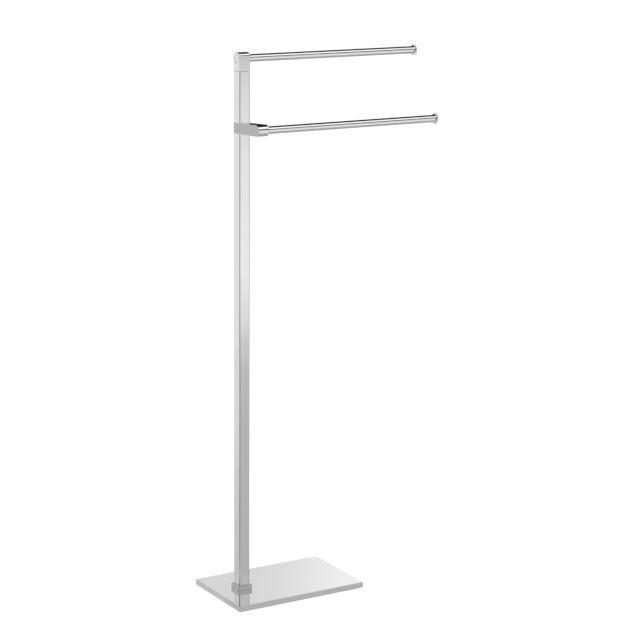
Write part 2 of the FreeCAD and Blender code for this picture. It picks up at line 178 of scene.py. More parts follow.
# %% [markdown]
# ## Profiles
#
# A profile says how the outline changes along the way. Each station is an inset, a height and a tilt.
# The inset steps back along the outline's directions, and the tilt turns the normal from level (0) to
# straight along the path (a quarter turn up or down). A quarter circle of stations is a round edge, as
# a bevel modifier would cut it, but with its true normals. Tubes add an inner profile that runs back
# down. The sizes all come from the box of the node that a piece stands for, so looks and frame agree.

# %% Profiles and how they carry an outline
QUARTER = np.pi / 2
RIM = 0.2 * MM


def rounded_edge(inset, height, radius, start, stop, steps=6):
    """Stations of a round edge about (inset, height): the tilt runs from start to stop.

    inset_t = inset - radius cos t, height_t = height + radius sin t, tilt_t = t.
    """
    tilt = np.linspace(start, stop, steps)
    return np.stack([inset - radius * np.cos(tilt), height + radius * np.sin(tilt), tilt], axis=1)


def side_wall(low, high, edge_low, edge_high):
    """Stations up an outer wall from its foot to its top, with a round edge at each."""
    return np.vstack([rounded_edge(edge_low, low + edge_low, edge_low, -QUARTER, 0),
                      rounded_edge(edge_high, high - edge_high, edge_high, 0, QUARTER)])


def inner_wall(low, high):
    """Stations down an inner wall, from the small round rim at its top to the one at its foot."""
    return np.vstack([rounded_edge(-RIM, high - RIM, RIM, QUARTER, 2 * QUARTER, 4),
                      rounded_edge(-RIM, low + RIM, RIM, 2 * QUARTER, 3 * QUARTER, 4)])


def carry(outline, facing, stations):
    """Rings and normals of an outline carried through stations, advancing along the third axis.

    ring_s = (outline - inset_s facing, height_s) and normal_s = (cos tilt_s facing, sin tilt_s).
    """
    inset, height, tilt = (column[:, None, None] for column in stations.T)
    flat = outline[None] - inset * facing[None]
    rings = np.concatenate([flat, np.broadcast_to(height, flat.shape[:2] + (1,))], axis=2)
    level = np.cos(tilt) * facing[None]
    normals = np.concatenate([level, np.broadcast_to(np.sin(tilt), flat.shape[:2] + (1,))], axis=2)
    return rings, normals


def two_walls(outer, inner, facing, up, down):
    """Rings and normals of a tube: its outer outline carried up and then its inner one carried down."""
    return [np.vstack(both) for both in zip(carry(outer, facing, up), carry(inner, facing, down))]


def laid_along_x(grid, centre=(0, 0, 0)):
    """A grid turned so that its third axis runs along +X, its first along +Y and its second along +Z."""
    return grid[..., [2, 0, 1]] + np.asarray(centre)


Box = namedtuple("Box", "centre half low high")


def box_of(node):
    """A node's box: its centre, its half sizes, and its lowest and highest corners."""
    low, high = (np.array(corner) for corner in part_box(node))
    return Box((low + high) / 2, (high - low) / 2, low, high)


print("the post is", round(2 * box_of("lower_post_tube").half[0] / MM, 3), "mm wide")

# %% [markdown]
# ## The mat and the plate
#
# The plate is what keeps the stand up. Real ones are cut from thick sheet and polished all over, with
# the edges only just broken, so the round edge is half a millimetre. A bevelled cube would do for its
# shape, but the loft gives the mirror its flat normals. The mat under it is thin rubber. It hardly
# shows, but it lifts the plate off the floor by its own thickness and gives the dark line there.

# %% Floor mat and base plate
def slab(name, node, corner, edge):
    """A flat slab over a node's box: a rounded rectangle carried up one wall and closed by two fans."""
    box = box_of(node)
    outline, facing = rounded_rectangle(box.half[0], box.half[1], corner)
    rings, normals = carry(outline, facing, side_wall(box.low[2], box.high[2], edge, edge))
    piece = loft(name, rings + (box.centre[0], box.centre[1], 0), normals)
    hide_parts(node)
    return piece


mat = slab("rubber_mat", "floor_mat", corner=3 * MM, edge=0.4 * MM)
plate = slab("polished_base", "base_plate", corner=0.7 * MM, edge=0.5 * MM)

# %% [markdown]
# ## The post and its collar
#
# Square tube is rolled, so its corners are round, and those narrow round corners are what draws the
# dark line down the front of the post. The ends are bevelled a little, so that two lengths with a block
# between them show a fine groove. A tube has an inside too: a solidify modifier could add it, but here
# the outline simply goes up the outer wall, over the rim and down the inner one, and the last ring
# meets the first. The collar is a short ring of the same kind with round edges. On the real stand it
# hides the joint between post and plate.

# %% Square tubes
BEVEL_TILT = np.radians(50)
BEVEL_STEPS = np.array([0.0, 0.1, 0.9, 1.1])
INNER_CORNER = 0.3 * MM


def bevelled_wall(low, high, bevel_low, bevel_high):
    """Stations up an outer wall whose foot and top are flat bevels of a given height, rather than round.

    A bevel of height b and tilt a steps in by b tan a. The normal turns at its two edges, over about a
    tenth of the bevel each.
    """
    tilt = np.array([QUARTER, BEVEL_TILT, BEVEL_TILT, 0.0])
    inset = np.tan(BEVEL_TILT) * np.clip(1 - BEVEL_STEPS, 0, 1)
    foot = np.stack([bevel_low * inset, low + bevel_low * BEVEL_STEPS, -tilt], axis=1)
    top = np.stack([bevel_high * inset, high - bevel_high * BEVEL_STEPS, tilt], axis=1)
    return np.vstack([foot, top[::-1]])


def square_tube(name, node, wall, corner, outer_wall):
    """A square tube over a node's box, with the given wall, outer corner and stations up its outside."""
    box = box_of(node)
    outer, outward = rounded_rectangle(box.half[0], box.half[1], corner)
    inner, _ = rounded_rectangle(box.half[0] - wall, box.half[1] - wall, INNER_CORNER)
    rings, normals = two_walls(outer, inner, outward, outer_wall(box.low[2], box.high[2]),
                               inner_wall(box.low[2], box.high[2]))
    piece = loft(name, rings + (box.centre[0], box.centre[1], 0), normals, joined=True)
    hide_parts(node)
    return piece


# %% The two lengths of post and the collar
TUBE_WALL = 1.5 * MM
TUBE_CORNER = 1.8 * MM
SEAM = 0.2 * MM
HEAD_SEAM = 1.2 * MM
COLLAR_EDGE = 0.7 * MM
COLLAR_GAP = 0.2 * MM
lower_tube = square_tube("lower_post", "lower_post_tube", TUBE_WALL, TUBE_CORNER,
                         lambda low, high: bevelled_wall(low, high, SEAM, SEAM))
upper_tube = square_tube("upper_post", "upper_post_tube", TUBE_WALL, TUBE_CORNER,
                         lambda low, high: bevelled_wall(low, high, SEAM, HEAD_SEAM))
collar_wall = box_of("post_collar").half[0] - box_of("lower_post_tube").half[0] - COLLAR_GAP
collar = square_tube("foot_collar", "post_collar", collar_wall, COLLAR_EDGE,
                     lambda low, high: side_wall(low, high, COLLAR_EDGE, COLLAR_EDGE))

# %% [markdown]
# ## The head
#
# The head is a cast or milled block that caps the post and holds the upper bar. Its outline lies in the
# plane square to the bars, so its loft runs along +X from one flat side to the other. The left side has
# a round recess with a cover plug in it. A boolean would cut the recess, but it leaves ragged faces and
# guessed normals on the mirror. Here the rings change from a circle to the block's own outline at the
# same angles, so that no face folds over another. Rings that would coincide lie a hair apart.

# %% Head block
HEAD_EDGE = 0.25 * MM
HEAD_FOOT_EDGE = 0.7 * MM
HEAD_CORNER = 8.0 * MM
POINT_SPACING = 0.6 * MM
head_box, cover_box = box_of("head_block"), box_of("head_cover_plug")
axis_height = cover_box.centre[2]
post_half = head_box.half[0]
front, back = -post_half, post_half
foot, top = head_box.low[2] - axis_height, head_box.high[2] - axis_height
outline, facing = rounded_polygon([(front, foot), (back, foot), (back, top), (front, top)],
                                  [HEAD_FOOT_EDGE, HEAD_FOOT_EDGE, HEAD_CORNER, HEAD_CORNER], steps=24)
outline, facing = filled_in(outline, facing, POINT_SPACING)
walls, wall_normals = carry(outline, facing, side_wall(-post_half, post_half, HEAD_EDGE, HEAD_EDGE))
print("head: an outline of", len(outline), "points, about the bar's axis at", axis_height)

# %% Recess in the head's left side
HAIR = 0.05 * MM
RECESS_GAP = 0.1 * MM
RECESS_LIP = 0.7 * MM
ray = outline / np.linalg.norm(outline, axis=1, keepdims=True)
recess_radius = cover_box.half[1] + RECESS_GAP
recess_floor = cover_box.high[0]
lip_depth = np.maximum(RECESS_LIP * (1 - BEVEL_STEPS), 0)
lip_tilt = QUARTER * np.array([-2.0, -1.5, -1.5, -1.0])
recess = np.vstack([[HAIR, recess_floor, -QUARTER], [0.0, recess_floor - HAIR, -2 * QUARTER],
                    np.stack([-RECESS_LIP * BEVEL_STEPS, lip_depth - post_half, lip_tilt], axis=1)])
hole_rings, hole_normals = carry(ray * recess_radius, ray, recess)
head = loft("head", laid_along_x(np.vstack([hole_rings, walls]), (0, 0, axis_height)),
            laid_along_x(np.vstack([hole_normals, wall_normals])))
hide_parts("head_block")

# %% [markdown]
# The cover plug is pressed in flush and hides the screw that holds the upper bar. A short cylinder would
# reflect like a coin. The real plug is turned: its face is very slightly domed and its edge is broken,
# so a fine round groove shows between plug and block. Its profile has both.

# %% Cover plug
PLUG_EDGE = 0.5 * MM
PLUG_DOME = 0.12 * MM
DOME_CENTRE = 0.02
plug_radius, plug_face = cover_box.half[1], cover_box.low[0]
outline, facing = circle(plug_radius)
inward = 1 - np.linspace(1 - DOME_CENTRE, PLUG_EDGE / plug_radius, 12)
dome = np.stack([(1 - inward) * plug_radius, plug_face + PLUG_DOME * inward ** 2,
                 -QUARTER + 2 * PLUG_DOME * inward / plug_radius], axis=1)
edge = rounded_edge(PLUG_EDGE, plug_face + PLUG_DOME + PLUG_EDGE, PLUG_EDGE, dome[-1, 2], 0)
far_edge = rounded_edge(RIM, cover_box.high[0] - RIM, RIM, 0, QUARTER, 4)
rings, normals = carry(outline, facing, np.vstack([dome[:-1], edge, far_edge]))
cover = loft("head_cover", laid_along_x(rings, (0, 0, axis_height)), laid_along_x(normals))
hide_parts("head_cover_plug")

# %% [markdown]
# ## The bracket
#
# The bracket is clamped between the two tubes, so their ends give the height of its seat. From there it
# rises and grows a little to the nose, whose radius is set by the bar's axis and the foremost point. A
# block and a cylinder joined together would leave a seam where they meet, so it is one outline again.

# %% Bracket
BRACKET_EDGE = 0.8 * MM
KINK = 2.0 * MM
lower_axis = box_of("lower_bar_tube").centre
seat_low, seat_high = box_of("lower_post_tube").high[2], box_of("upper_post_tube").low[2]
nose_tip = box_of("lower_arm_bracket").low[1]
nose_radius = lower_axis[1] - nose_tip


def at_nose_tip(seat, nose):
    """The height at the nose's tip of the line from the seat's front through the nose over its axis."""
    slope = (nose - seat) / (front - lower_axis[1])
    return nose + slope * nose_radius


tip_high = at_nose_tip(seat_high, lower_axis[2] + nose_radius)
tip_low = at_nose_tip(seat_low, lower_axis[2] - nose_radius)
outline, facing = rounded_polygon(
    [(back, seat_low), (back, seat_high), (front, seat_high),
     (nose_tip, tip_high), (nose_tip, tip_low), (front, seat_low)],
    [HEAD_EDGE, HEAD_EDGE, -KINK, nose_radius, nose_radius, KINK], steps=40)
stations = side_wall(-post_half, post_half, BRACKET_EDGE, BRACKET_EDGE)
rings, normals = carry(outline, facing, stations)
bracket = loft("lower_bracket", laid_along_x(rings), laid_along_x(normals))
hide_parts("lower_arm_bracket")

# %% [markdown]
# ## The bars and their flared caps
#
# A bar is drawn tube with a cap pressed into its free end. The cap keeps a towel from sliding off: it
# flares out from the tube in a hollow curve, turns over a soft rim, and ends in a very slightly domed
# face. It is a turned part, so its shape is one profile spun about the bar's axis. A screw modifier
# could spin it, and a loft of circles does the same and keeps the normals.

# %% Bars
BAR_WALL = 1.2 * MM
BAR_EDGE = 0.1 * MM


def round_bar(name, node):
    """A round tube over a node's box: a circle carried out along its outside and back along its bore."""
    box = box_of(node)
    outline, facing = circle(box.half[1])
    rings, normals = two_walls(outline, facing * (box.half[1] - BAR_WALL), facing,
                               side_wall(box.low[0], box.high[0], BAR_EDGE, BAR_EDGE),
                               inner_wall(box.low[0], box.high[0]))
    axis = (0, box.centre[1], box.centre[2])
    piece = loft(name, laid_along_x(rings, axis), laid_along_x(normals), joined=True)
    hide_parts(node)
    return piece


bars = [round_bar(f"{level}_bar", f"{level}_bar_tube") for level in ("upper", "lower")]

# %% Flared caps
CAP_LIP = 1.0 * MM
CAP_RIM_EDGE = 0.3 * MM
CAP_DOME = 0.25 * MM
CAP_DOME_CENTRE = 0.015
SPIGOT_GAP = 0.1 * MM
STEP = 0.02 * MM


def flared_cap(name, node, tube):
    """A turned cap over a node's box. The outline is the rim's circle, and stations step in from it.

    In order: the spigot inside the tube, the step out to the tube's end, a hollow flare of one quarter
    circle, a small round edge, a wide one that turns to the end face, and the face, domed by
    dome (1 - radius share)^2.
    """
    box, tube_box = box_of(node), box_of(tube)
    root, end = tube_box.high[0], box.high[0]
    rim, bar_radius = box.half[1], tube_box.half[1]
    flare = rim - bar_radius - CAP_LIP
    end_edge = end - CAP_DOME - root - flare - CAP_RIM_EDGE - HAIR
    spigot_inset = rim - (bar_radius - BAR_WALL - SPIGOT_GAP)
    turn = np.linspace(0, -QUARTER, 24)
    inset = np.linspace(end_edge, rim * (1 - CAP_DOME_CENTRE), 14)
    share = 1 - inset / rim
    stations = np.vstack([
        rounded_edge(spigot_inset + RIM, box.low[0] + RIM, RIM, -QUARTER, 0, 4),
        [[spigot_inset, root - STEP, 0.0], [spigot_inset - STEP, root, -QUARTER],
         [rim - bar_radius + HAIR, root, -QUARTER]],
        np.stack([rim - bar_radius - flare * (1 - np.cos(turn)), root - flare * np.sin(turn),
                  turn], axis=1),
        rounded_edge(CAP_RIM_EDGE, root + flare + CAP_RIM_EDGE, CAP_RIM_EDGE, -QUARTER, 0, 8),
        rounded_edge(end_edge, end - CAP_DOME - end_edge, end_edge, 0, QUARTER, 14),
        np.stack([inset, end - CAP_DOME * share ** 2, QUARTER - 2 * CAP_DOME * share / rim], axis=1)[1:],
    ])
    outline, facing = circle(rim)
    rings, normals = carry(outline, facing, stations)
    axis = (0, box.centre[1], box.centre[2])
    piece = loft(name, laid_along_x(rings, axis), laid_along_x(normals))
    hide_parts(node)
    return piece


caps = [flared_cap(f"{level}_cap", f"{level}_bar_end_cap", f"{level}_bar_tube")
        for level in ("upper", "lower")]

# %% [markdown]
# ## Short names for shader nodes
#
# A node tree is easier to read in the editor than in code, where each node and each link takes a line.
# So three helpers come first: one adds any node, one does arithmetic and one does it on vectors.

# %% Helpers for node trees
def add(tree, kind, **settings):
    """A node of a kind, with its plain settings and its inputs set by name (spaces as underscores)."""
    node = tree.nodes.new(kind)
    for key, value in settings.items():
        if hasattr(node, key):
            setattr(node, key, value)
        else:
            node.inputs[key.replace("_", " ")].default_value = value
    return node


def number(tree, operation, *sources):
    """A Math node's value, from sockets or plain numbers."""
    node = add(tree, "ShaderNodeMath", operation=operation)
    for socket, source in zip(node.inputs, sources):
        if isinstance(source, (int, float)):
            socket.default_value = source
        else:
            tree.links.new(source, socket)
    return node.outputs["Value"]


def arrow(tree, operation, source, fixed=(0.0, 0.0, 0.0)):
    """A Vector Math node's outputs, from a vector socket and a fixed vector."""
    node = add(tree, "ShaderNodeVectorMath", operation=operation)
    tree.links.new(source, node.inputs[0])
    node.inputs[1].default_value = fixed
    return node.outputs


# %% [markdown]
# ## One finish group for every polished part
#
# Polished metal is never perfect. Wiping leaves faint clouds in the gloss, and the polishing wheel
# leaves the surface a hair's breadth wavy, which is why straight things look slightly soft in it. An
# image could hold such marks, but noise has no seams and no edge. The effects are the same on every
# piece, only stronger or weaker, so they are one node group that each material places with its own
# values. It gives a roughness, a height and a cloud mask, and no colour.

# %% The polish group
GROUP_INPUTS = {"Haze": 0.03, "Clouds": 0.03, "Cloud Scale": 18.0, "Wave": 0.2, "Wipe": 0.1}
CLOUD_POWER = 2.0
WAVE_SCALE = 9.0
WIPE_SCALE = (900.0, 900.0, 60.0)


def make_polish_group():
    """Roughness = Haze + Clouds x (slow noise)^2. Height = Wave x (very slow noise) + Wipe x (noise drawn
    out upwards). Clouding is the slow noise itself."""
    tree = bpy.data.node_groups.new("polish", "ShaderNodeTree")
    for name, value in GROUP_INPUTS.items():
        socket = tree.interface.new_socket(name, in_out="INPUT", socket_type="NodeSocketFloat")
        socket.default_value = value
    for name in ("Roughness", "Height", "Clouding"):
        tree.interface.new_socket(name, in_out="OUTPUT", socket_type="NodeSocketFloat")
    link = tree.links.new
    given = add(tree, "NodeGroupInput").outputs
    out = add(tree, "NodeGroupOutput").inputs
    place = add(tree, "ShaderNodeTexCoord").outputs["Object"]
    clouds = add(tree, "ShaderNodeTexNoise", Detail=4.0, Roughness=0.6)
    link(place, clouds.inputs["Vector"])
    link(given["Cloud Scale"], clouds.inputs["Scale"])
    wave = add(tree, "ShaderNodeTexNoise", Scale=WAVE_SCALE, Detail=1.0)
    link(place, wave.inputs["Vector"])
    stretch = add(tree, "ShaderNodeMapping", Scale=WIPE_SCALE)
    link(place, stretch.inputs["Vector"])
    wipe = add(tree, "ShaderNodeTexNoise", Scale=1.0, Detail=2.0)
    link(stretch.outputs["Vector"], wipe.inputs["Vector"])
    thick = number(tree, "POWER", clouds.outputs["Fac"], CLOUD_POWER)
    waves = number(tree, "MULTIPLY", wave.outputs["Fac"], given["Wave"])
    link(number(tree, "MULTIPLY_ADD", thick, given["Clouds"], given["Haze"]), out["Roughness"])
    link(number(tree, "MULTIPLY_ADD", wipe.outputs["Fac"], given["Wipe"], waves), out["Height"])
    link(clouds.outputs["Fac"], out["Clouding"])
    return tree


polish = make_polish_group()
print("polish:", ", ".join(GROUP_INPUTS))


# %% [markdown]
# ## Metals
#
# Chrome reflects a little over two thirds of the light, and nearly alike in every colour. That grey is
# the whole colour of the material: the whites and blacks come from the room. One flat grey would look
# like plastic film, so the clouds change it by a few hundredths, as a wiped surface does. The collar is
# a little duller in gloss than the rest, and its darker grey is painted shade at the post's foot. The
# bracket's two flat sides are ground instead of polished, so they are rougher, which the attribute
# "side" picks out, and a darker grey is painted on them as shade. Screws and plugs inside the stand are
# zinc and turned steel, rougher and a little blue or yellow.

# %% Materials and blends
def empty_material(name):
    """A material and its empty tree."""
    material = bpy.data.materials.new(name)
    material.use_nodes = True
    material.node_tree.nodes.clear()
    return material, material.node_tree


def shaded_material(name):
    """A material with its shader and its output joined, its tree, and the shader."""
    material, tree = empty_material(name)
    shader = add(tree, "ShaderNodeBsdfPrincipled")
    out = add(tree, "ShaderNodeOutputMaterial")
    tree.links.new(shader.outputs["BSDF"], out.inputs["Surface"])
    return material, tree, shader


def blend(tree, factor, first, second):
    """A colour that is first where factor is 0 and second where it is 1. Either may be a socket, a grey
    or a colour."""
    mix = add(tree, "ShaderNodeMix", data_type="RGBA")
    tree.links.new(factor, mix.inputs["Factor"])
    colours = [socket for socket in mix.inputs if socket.type == "RGBA"]
    for socket, source in zip(colours, (first, second)):
        if isinstance(source, float):
            source = (source,) * 3
        if isinstance(source, tuple):
            socket.default_value = (*source, 1.0)
        else:
            tree.links.new(source, socket)
    return next(socket for socket in mix.outputs if socket.type == "RGBA")


def soft_step(tree, value, low, high):
    """0 below low and 1 above high (the other way round where low is above high), with soft ends."""
    node = add(tree, "ShaderNodeMapRange", interpolation_type="SMOOTHSTEP", From_Min=low, From_Max=high)
    tree.links.new(value, node.inputs["Value"])
    return node.outputs["Result"]


# %% The metal material
# The darker grey on the bracket's flat sides is painted shade; their roughness is the ground finish.
PAINTED_SHADE_TONE = (0.45, 0.45, 0.455)
GROUND_ROUGHNESS = 0.32
GROUND_AND_SHADE_SHARE = (0.9, 1.0)
RELIEF = 1.0 * MM


def metal(name, dark, light, bump=0.02, ground=False, **polishing):
    """A metal whose gloss and height come from the polish group, with two near tones in its clouds. On a
    ground part the faces square to the bars are rougher, and a darker grey is painted on them as shade."""
    material, tree, shader = shaded_material(name)
    shader.inputs["Metallic"].default_value = 1.0
    group = add(tree, "ShaderNodeGroup", node_tree=polish)
    for key, value in polishing.items():
        group.inputs[key].default_value = value
    colour = blend(tree, group.outputs["Clouding"], dark, light)
    roughness = group.outputs["Roughness"]
    # Faces square to the bars get a rougher finish and a darker grey painted on them as shade.
    if ground:
        side = add(tree, "ShaderNodeAttribute", attribute_name="side")
        ground_shade_mask = soft_step(tree, side.outputs["Fac"], *GROUND_AND_SHADE_SHARE)
        colour = blend(tree, ground_shade_mask, colour, PAINTED_SHADE_TONE)
        mix = add(tree, "ShaderNodeMix", B=GROUND_ROUGHNESS)
        tree.links.new(ground_shade_mask, mix.inputs["Factor"])
        tree.links.new(roughness, mix.inputs["A"])
        roughness = mix.outputs["Result"]
    tree.links.new(colour, shader.inputs["Base Color"])
    tree.links.new(roughness, shader.inputs["Roughness"])
    relief = add(tree, "ShaderNodeBump", Strength=bump, Distance=RELIEF)
    tree.links.new(group.outputs["Height"], relief.inputs["Height"])
    tree.links.new(relief.outputs["Normal"], shader.inputs["Normal"])
    return material


CHROME = ((0.70, 0.70, 0.705), (0.74, 0.74, 0.742))
# The collar's darker grey is painted shade at the post's foot.
SHADED_COLLAR_CHROME = ((0.50, 0.50, 0.505), (0.54, 0.54, 0.545))
TURNED_STEEL = ((0.45, 0.44, 0.42), (0.60, 0.59, 0.57))
ZINC = ((0.50, 0.51, 0.53), (0.62, 0.63, 0.66))

# %% [markdown]
# The mat is rubber. Plain black would do from afar, but moulded rubber has a fine pebbled grain and
# holds dust, so it gets small cells for the grain, duller in the hollows, and a soft noise for the dust.

# %% The rubber material
GRAIN_SCALE = 900.0
GRAIN_HEIGHT = 0.2 * MM
GRAIN_ROUGHNESS = (0.6, 0.85)
DUST_SCALE = 35.0
RUBBER_TONES = ((0.018, 0.018, 0.019), (0.05, 0.05, 0.048))


def rubber(name):
    """Near-black rubber: a pebbled grain from small cells, duller in the hollows between them."""
    material, tree, shader = shaded_material(name)
    place = add(tree, "ShaderNodeTexCoord").outputs["Object"]
    cells = add(tree, "ShaderNodeTexVoronoi", Scale=GRAIN_SCALE)
    tree.links.new(place, cells.inputs["Vector"])
    dust = add(tree, "ShaderNodeTexNoise", Scale=DUST_SCALE, Detail=5.0)
    tree.links.new(place, dust.inputs["Vector"])
    colour = blend(tree, dust.outputs["Fac"], *RUBBER_TONES)
    tree.links.new(colour, shader.inputs["Base Color"])
    span = add(tree, "ShaderNodeMapRange", To_Min=GRAIN_ROUGHNESS[0], To_Max=GRAIN_ROUGHNESS[1])
    tree.links.new(cells.outputs["Distance"], span.inputs["Value"])
    tree.links.new(span.outputs["Result"], shader.inputs["Roughness"])
    relief = add(tree, "ShaderNodeBump", Strength=0.5, Distance=GRAIN_HEIGHT)
    tree.links.new(cells.outputs["Distance"], relief.inputs["Height"])
    tree.links.new(relief.outputs["Normal"], shader.inputs["Normal"])
    return material


# %% [markdown]
# Each finish is made once and shared. The frame's own solids wear them too, in their own slots, so the
# hidden screws and plugs are dressed as well.

# %% Every finish, and who wears it
finishes = {
    "polished_plate": metal("mirror plate", *CHROME, Haze=0.02, Clouds=0.05, Wave=0.6, Wipe=0.02),
    "polished_tube": metal("chromed tube", *CHROME, Haze=0.03, Clouds=0.05, Wave=0.5, Wipe=0.03),
    "polished_block": metal("chromed block", *CHROME, Haze=0.04, Clouds=0.05, Wave=0.3, Wipe=0.03),
    # The collar: a little duller in gloss, with its darker grey painted on as shade.
    "dim_block": metal("chromed collar with painted shade", *SHADED_COLLAR_CHROME, Haze=0.06, Clouds=0.05, Wave=0.3, Wipe=0.03),
    # The bracket: rougher flat sides, with a darker grey painted on them as shade.
    "ground_block": metal("ground chromed block with painted shade", *CHROME, ground=True,
                          Haze=0.04, Clouds=0.05, Wave=0.1, Wipe=0.03),
    "polished_bar": metal("chromed bar", *CHROME, Haze=0.02, Clouds=0.04, Wave=0.08, Wipe=0.02),
    "plug_metal": metal("turned steel", *TURNED_STEEL, bump=0.3, Haze=0.3, Clouds=0.2, Wipe=1.0),
    "screw_steel": metal("zinc plate", *ZINC, bump=0.2, Haze=0.25, Clouds=0.2, Wipe=0.6),
    "floor_rubber": rubber("pebbled rubber"),
}
worn_by = {
    "floor_rubber": [mat], "polished_plate": [plate], "polished_tube": [lower_tube, upper_tube],
    "polished_block": [head, cover], "dim_block": [collar], "ground_block": [bracket],
    "polished_bar": bars + caps,
}


def dress(piece, finish):
    """Gives a piece one finish in all its material slots."""
    if not piece.material_slots:
        piece.data.materials.append(finishes[finish])
    for material_slot in piece.material_slots:
        material_slot.material = finishes[finish]


slot_of = {entry["node"]: entry["material_slot"] for entry in frame["record"]["subparts"]}
for node, solid in frame["nodes"].items():
    dress(solid, slot_of[node])
for finish, pieces in worn_by.items():
    for piece in pieces:
        dress(piece, finish)
print("finishes:", ", ".join(finishes))

# %% [markdown]
# The photograph shows clean tone on the post, where a real bracket and bar would be mirrored. So the
# bracket, the bars and their caps are left out of reflections, and so are the solids inside them.

# %% Parts that aren't mirrored
unmirrored = [bracket] + bars + caps + list(frame["nodes"].values())
for piece in unmirrored:
    piece.visible_glossy = False
print("left out of reflections:", len(unmirrored), "objects")

# %% [markdown]
# ## The studio
#
# A mirror needs a room. An image of a real studio would be one way to give it one, but then its light is
# fixed. Photographers of chrome build theirs from cards and cloths, pale ones and black ones, and so
# does this scene. The world and the floor are plain white for every ray that sees: from the camera, off
# metal or through glass. Light Path tells which ray it is. Between them and the metal hang the staged
# pieces, which the camera doesn't see and which only mirrors show.

# %% Helpers for the studio
def ramp(tree, value, stops):
    """A smooth grey scale over 0..1 through (position, brightness) stops, as its output socket."""
    node = add(tree, "ShaderNodeValToRGB")
    node.color_ramp.interpolation = "EASE"
    elements = node.color_ramp.elements
    while len(elements) < len(stops):
        elements.new(0.5)
    for element, (position, brightness) in zip(elements, stops):
        element.position = position
        element.color = (brightness, brightness, brightness, 1.0)
    tree.links.new(value, node.inputs["Fac"])
    return node.outputs["Color"]


def axes(tree, vector):
    """The three parts of a vector, by name."""
    split = add(tree, "ShaderNodeSeparateXYZ")
    tree.links.new(vector, split.inputs["Vector"])
    return split.outputs


def seen(tree):
    """1 for rays from the camera and for mirrored and refracted ones, 0 for those that carry light."""
    rays = add(tree, "ShaderNodeLightPath").outputs
    mirrored = number(tree, "ADD", rays["Is Glossy Ray"], rays["Is Transmission Ray"])
    return number(tree, "MINIMUM", number(tree, "ADD", rays["Is Camera Ray"], mirrored), 1.0)


def staged(name, points, faces):
    """An object of the studio over points and faces, and the empty tree of its material."""
    mesh = bpy.data.meshes.new(name)
    mesh.from_pydata(points, [], faces)
    thing = bpy.data.objects.new(name, mesh)
    bpy.context.scene.collection.objects.link(thing)
    material, tree = empty_material(name)
    mesh.materials.append(material)
    print(f"{name}: staged, {len(points)} points")
    return thing, tree


def hung(name, points, faces, lights=False):
    """A piece of the studio that only reflections see, or that lights too. Gives its tree, its own
    coordinates and the socket of its glow."""
    thing, tree = staged(name, points, faces)
    thing.visible_camera = False
    thing.visible_transmission = False
    thing.visible_diffuse = lights
    thing.visible_shadow = False
    place = add(tree, "ShaderNodeTexCoord").outputs["Object"]
    glow = add(tree, "ShaderNodeEmission", Strength=1.0)
    out = add(tree, "ShaderNodeOutputMaterial")
    tree.links.new(glow.outputs["Emission"], out.inputs["Surface"])
    return tree, place, glow.inputs["Color"]


# %% World
def build_world():
    """White to every ray that sees it. The light comes from the room and the lamp."""
    world = bpy.data.worlds.new("studio")
    bpy.context.scene.world = world
    world.use_nodes = True
    tree = world.node_tree
    tree.nodes.clear()
    emit = add(tree, "ShaderNodeBackground", Strength=1.0)
    tree.links.new(blend(tree, seen(tree), 0.0, 1.0), emit.inputs["Color"])
    out = add(tree, "ShaderNodeOutputWorld")
    tree.links.new(emit.outputs["Background"], out.inputs["Surface"])


build_world()
print("world: white where it is seen")

# %% [markdown]
# The room is a large box of cloth, painted by direction. In front it has a white ceiling. A bar mirrors
# only the strip of the front wall that stands square to it, and a black card hangs in that strip, so
# each bar shows a black line between a white one and a grey one, and that reads as metal. Beside the
# strip the wall is pale, for the plate. Behind, to the right, and low on the photographer's side it is
# black, but for a pale patch behind on the left.

# %% Room
ROOM_HALF = 60.0
ROOM_FOOT = -5.0
ROOM_EYE = (0.0, 0.0, 1.1)
TOWARDS_CAMERA = (-0.487, -0.873, 0.0)
BLACK_CLOTH = 0.02
STRIP_TONES = [(0.0, 0.85), (0.1, 0.8), (0.2, 0.06), (0.54, 0.06), (0.6, 1.45)]
WALL_TONES = [(0.0, 0.85), (0.5, 0.8), (0.6, 1.45)]
STRIP_MIDDLE = 0.52
STRIP_EDGE = (0.08, 0.12)
BEHIND = (-0.16, -0.1)
RIGHT = (0.72, 0.8)
LOW = (0.6, 0.54)
CAMERA_SECTOR = (0.72, 0.8)
PATCH_LEFT = (-0.15, -0.22)
PATCH_BEHIND = (0.3, 0.5)
PATCH_TOP = (0.6, 0.52)
PATCH_TONE = 0.9


